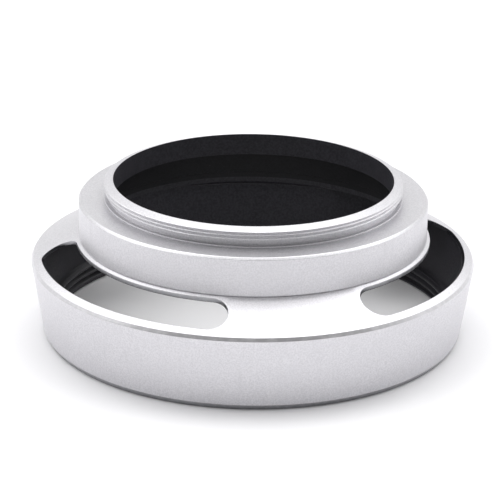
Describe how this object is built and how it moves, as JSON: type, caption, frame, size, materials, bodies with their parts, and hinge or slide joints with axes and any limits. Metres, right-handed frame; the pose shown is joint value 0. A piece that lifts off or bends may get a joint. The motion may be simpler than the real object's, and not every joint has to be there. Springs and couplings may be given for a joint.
{
  "type": "vented lens hood",
  "caption": "Flared metal lens hood with arc-shaped vents, a screw-in mount ring and a threaded front rim.",
  "frame": {"origin": "centre of the front rim's plane, on the surface that the hood stands on", "axes": "+Z along the optical axis, from the front rim towards the mount thread; -Y through the middle of the front bridge"},
  "size_m": [0.0604, 0.0604, 0.0214],
  "materials": {
    "silver_aluminium": "bead-blasted, satin silver anodised",
    "black_inside": "matt black coating on the inner faces"
  },
  "bodies": {
    "root": {"mount_ring": "silver_aluminium", "collar": "silver_aluminium", "vented_shell": "silver_aluminium"}
  },
  "joints": []
}
